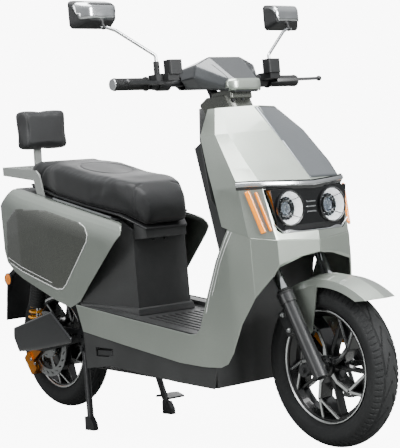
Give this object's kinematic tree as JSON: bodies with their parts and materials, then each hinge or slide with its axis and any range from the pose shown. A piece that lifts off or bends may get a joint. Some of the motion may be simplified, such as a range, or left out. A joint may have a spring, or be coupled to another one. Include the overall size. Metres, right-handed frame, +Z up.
{
  "type": "electric moped scooter",
  "caption": "Step-through electric moped scooter with twin round headlamps, stepped seat with backrest, grab rail, hydraulic disc brakes and centre stand.",
  "frame": {"origin": "on the ground under the middle of the overall length and width", "axes": "+X forward, +Y to the rider's left, +Z up"},
  "size_m": [1.8169, 0.894, 1.32],
  "materials": {
    "frame_black": "satin black",
    "casing_grey": "matt",
    "cast_alloy": "cast",
    "dark_plastic": "satin moulded",
    "silver_paint": "metallic lacquer",
    "piano_black": "high gloss",
    "lamp_glass": "clear",
    "bright_trim": "polished",
    "amber_lens": "clear amber",
    "silver_alloy": "satin silver",
    "seat_cover": "grained leatherette",
    "black_plastic": "textured",
    "gunmetal_paint": "metallic lacquer",
    "display_glass": "dark",
    "grip_rubber": "matt",
    "lever_black": "semi-gloss",
    "button_grey": "matt",
    "bolt_steel": "zinc",
    "gold_anodised": "anodised",
    "tyre_rubber": "matt",
    "rim_black": "gloss black, machined faces",
    "disc_steel": "ground",
    "graphite_gloss": "metallic lacquer",
    "yellow_spring": "enamel"
  },
  "bodies": {
    "chassis": {"head_frame": "frame_black", "frame_rails": "frame_black", "frame_cross_members": "frame_black", "battery_box": "casing_grey", "controller": "cast_alloy", "floorboard": "dark_plastic", "front_shield": "silver_paint", "leg_shield": "dark_plastic", "lamp_housing": "piano_black", "headlamps": "lamp_glass", "lamp_trim": "bright_trim", "front_signals": "amber_lens", "side_aprons": "silver_paint", "lower_fairing": "dark_plastic", "seat_box": "dark_plastic", "rear_panels": "silver_paint", "grab_rail": "silver_alloy", "backrest_pad": "seat_cover", "rear_mudguard": "black_plastic", "rear_lamps": "amber_lens", "shock_tops": "lever_black", "shock_springs": "yellow_spring"},
    "seat": {"seat_pan": "black_plastic", "seat_cushion": "seat_cover"},
    "steering": {"steering_column": "frame_black", "fork_stanchions": "bright_trim", "handlebar_cowl": "gunmetal_paint", "speedometer": "display_glass", "neck_cover": "silver_paint", "brake_masters": "black_plastic", "grip_left": "grip_rubber", "switch_pods": "black_plastic", "bar_ends": "bright_trim"},
    "throttle": {"throttle_grip": "grip_rubber"},
    "lever_left": {"brake_lever_left": "lever_black"},
    "lever_right": {"brake_lever_right": "lever_black"},
    "horn_push": {"horn_button": "button_grey"},
    "start_push": {"start_button": "button_grey"},
    "key": {"key_switch": "bright_trim"},
    "mirror_arm_left": {"mirror_stem_left": "bright_trim"},
    "mirror_arm_right": {"mirror_stem_right": "bright_trim"},
    "mirror_left": {"mirror_head_left": "black_plastic"},
    "mirror_right": {"mirror_head_right": "black_plastic"},
    "fork_lowers": {"fork_sliders": "lever_black", "front_fender": "silver_paint", "fender_bolts": "bolt_steel", "front_caliper": "gold_anodised"},
    "front_wheel": {"front_tyre": "tyre_rubber", "front_rim": "rim_black", "front_disc": "disc_steel"},
    "rear_arm": {"swingarm": "frame_black", "swingarm_cover": "graphite_gloss", "rear_caliper": "gold_anodised"},
    "rear_wheel": {"rear_tyre": "tyre_rubber", "rear_rim": "rim_black", "rear_disc": "disc_steel"},
    "shock_lowers": {"shock_rods": "bright_trim"},
    "stand": {"centre_stand": "frame_black"},
    "peg_left": {"footpeg_left": "lever_black"},
    "peg_right": {"footpeg_right": "lever_black"}
  },
  "joints": [
    {"name": "steer", "type": "hinge", "parent": "chassis", "child": "steering", "pos_m": [0.244, 0, 1.07], "axis": [-0.454, 0, 0.891], "range_deg": [-35, 35]},
    {"name": "throttle_twist", "type": "hinge", "parent": "steering", "child": "throttle", "pos_m": [0.244, -0.296, 1.07], "axis": [0, -1, 0], "range_deg": [0, 65], "stiffness_Nm_per_rad": 0.5, "springref_deg": -17.19},
    {"name": "brake_left", "type": "hinge", "parent": "steering", "child": "lever_left", "pos_m": [0.29, 0.227, 1.066], "axis": [0, 0, 1], "range_deg": [0, 15], "stiffness_Nm_per_rad": 2, "springref_deg": -17.19},
    {"name": "brake_right", "type": "hinge", "parent": "steering", "child": "lever_right", "pos_m": [0.29, -0.227, 1.066], "axis": [0, 0, -1], "range_deg": [0, 15], "stiffness_Nm_per_rad": 2, "springref_deg": -17.19},
    {"name": "horn_press", "type": "slide", "parent": "steering", "child": "horn_push", "axis": [1, 0, 0], "range_m": [0, 0.002], "stiffness_N_per_m": 800, "springref_m": -0.001},
    {"name": "start_press", "type": "slide", "parent": "steering", "child": "start_push", "axis": [1, 0, 0], "range_m": [0, 0.002], "stiffness_N_per_m": 800, "springref_m": -0.001},
    {"name": "key_turn", "type": "hinge", "parent": "chassis", "child": "key", "pos_m": [0.2574, -0.04, 0.82], "axis": [-0.9739, 0, -0.227], "range_deg": [0, 90]},
    {"name": "mirror_swing_left", "type": "hinge", "parent": "steering", "child": "mirror_arm_left", "pos_m": [0.28, 0.22, 1.14], "axis": [0, 0, 1], "range_deg": [-40, 40]},
    {"name": "mirror_swing_right", "type": "hinge", "parent": "steering", "child": "mirror_arm_right", "pos_m": [0.28, -0.22, 1.14], "axis": [0, 0, -1], "range_deg": [-40, 40]},
    {"name": "mirror_tilt_left", "type": "hinge", "parent": "mirror_arm_left", "child": "mirror_left", "pos_m": [0.231, 0.36, 1.236], "axis": [0, 1, 0], "range_deg": [-12, 12]},
    {"name": "mirror_tilt_right", "type": "hinge", "parent": "mirror_arm_right", "child": "mirror_right", "pos_m": [0.231, -0.36, 1.236], "axis": [0, 1, 0], "range_deg": [-12, 12]},
    {"name": "fork_compress", "type": "slide", "parent": "steering", "child": "fork_lowers", "axis": [-0.454, 0, 0.891], "range_m": [0, 0.05], "stiffness_N_per_m": 12000, "springref_m": -0.045},
    {"name": "front_spin", "type": "hinge", "parent": "fork_lowers", "child": "front_wheel", "pos_m": [0.675, 0, 0.23], "axis": [0, 1, 0], "continuous": true},
    {"name": "arm_swing", "type": "hinge", "parent": "chassis", "child": "rear_arm", "pos_m": [-0.4, 0, 0.3], "axis": [0, 1, 0], "range_deg": [0, 8], "stiffness_Nm_per_rad": 900, "springref_deg": -8.59},
    {"name": "rear_spin", "type": "hinge", "parent": "rear_arm", "child": "rear_wheel", "pos_m": [-0.672, 0, 0.262], "axis": [0, 1, 0], "continuous": true},
    {"name": "shock_compress", "type": "slide", "parent": "chassis", "child": "shock_lowers", "axis": [0.1881, 0, 0.9821], "range_m": [-0.0002, 0.03573], "deforming": ["shock_springs"]},
    {"name": "seat_open", "type": "hinge", "parent": "chassis", "child": "seat", "pos_m": [-0.056, 0, 0.622], "axis": [0, 1, 0], "range_deg": [0, 75]},
    {"name": "stand_fold", "type": "hinge", "parent": "chassis", "child": "stand", "pos_m": [-0.362, 0, 0.262], "axis": [0, 1, 0], "range_deg": [0, 65]},
    {"name": "peg_fold_left", "type": "hinge", "parent": "chassis", "child": "peg_left", "pos_m": [-0.112, 0.19, 0.264], "axis": [0, 0, -1], "range_deg": [0, 85]},
    {"name": "peg_fold_right", "type": "hinge", "parent": "chassis", "child": "peg_right", "pos_m": [-0.112, -0.19, 0.264], "axis": [0, 0, 1], "range_deg": [0, 85]}
  ],
  "couplings": [
    {"joint": "shock_compress", "follows": "arm_swing", "m_per_rad": 0.25159}
  ]
}
